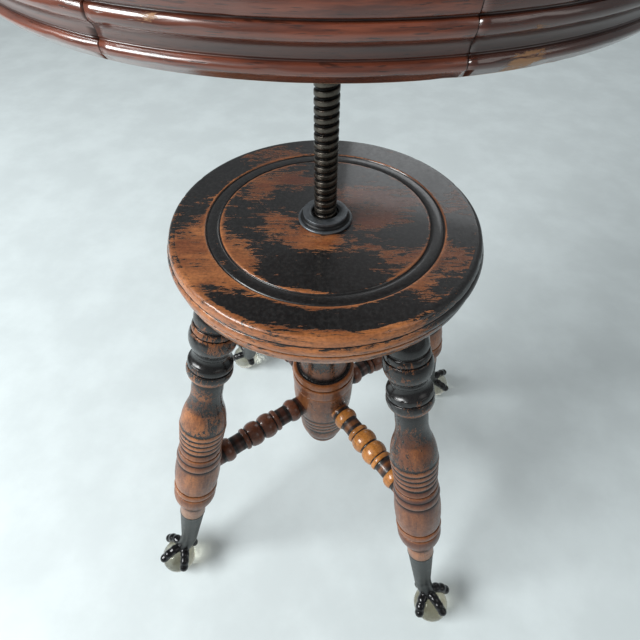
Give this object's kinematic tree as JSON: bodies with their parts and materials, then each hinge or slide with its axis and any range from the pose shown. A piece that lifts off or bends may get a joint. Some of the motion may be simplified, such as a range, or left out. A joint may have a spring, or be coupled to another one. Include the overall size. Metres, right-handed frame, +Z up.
{
  "type": "revolving piano stool",
  "caption": "Revolving piano stool: a round moulded wooden seat on an iron screw that rises as it turns, over splayed turned legs with stretchers, claw feet and glass balls",
  "frame": {"origin": "on the floor, on the screw's axis, midway between the feet", "axes": "+Z up along the screw; -Y towards the front, between the two front legs; +X to the right seen from the front"},
  "size_m": [0.3402, 0.3402, 0.621],
  "materials": {
    "seat_mahogany": "glossy red-brown mahogany stain and varnish",
    "ebonised_wood": "black stain, satin, rubbed through to orange-brown wood",
    "turned_wood": "varnished brown hardwood, dark in the grooves",
    "cast_iron": "blackened casting, slightly rough",
    "screw_iron": "oiled dark iron, bright where it runs",
    "screw_steel": "dull steel",
    "foot_glass": "clear greenish glass"
  },
  "bodies": {
    "base": {"platform": "ebonised_wood", "centre_post": "turned_wood", "collar_nut": "cast_iron", "front_left_leg": "turned_wood", "front_left_stretcher": "turned_wood", "front_left_claw_foot": "cast_iron", "front_left_glass_ball": "foot_glass", "front_right_leg": "turned_wood", "front_right_stretcher": "turned_wood", "front_right_claw_foot": "cast_iron", "front_right_glass_ball": "foot_glass", "rear_left_leg": "turned_wood", "rear_left_stretcher": "turned_wood", "rear_left_claw_foot": "cast_iron", "rear_left_glass_ball": "foot_glass", "rear_right_leg": "turned_wood", "rear_right_stretcher": "turned_wood", "rear_right_claw_foot": "cast_iron", "rear_right_glass_ball": "foot_glass"},
    "lift": {"stop_washer": "screw_iron"},
    "seat": {"seat_board_left": "seat_mahogany", "seat_board_middle": "seat_mahogany", "seat_board_right": "seat_mahogany", "spider": "cast_iron", "wood_screws": "screw_steel", "screw_rod": "screw_iron"}
  },
  "joints": [
    {"name": "seat_rise", "type": "slide", "parent": "base", "child": "lift", "axis": [0, 0, 1], "range_m": [-0.132, 0.0165]},
    {"name": "seat_turn", "type": "hinge", "parent": "lift", "child": "seat", "pos_m": [0, 0, 0.374], "axis": [0, 0, 1], "range_deg": [-8640, 1080]}
  ],
  "couplings": [
    {"joint": "seat_rise", "follows": "seat_turn", "m_per_rad": 0.00087535}
  ]
}
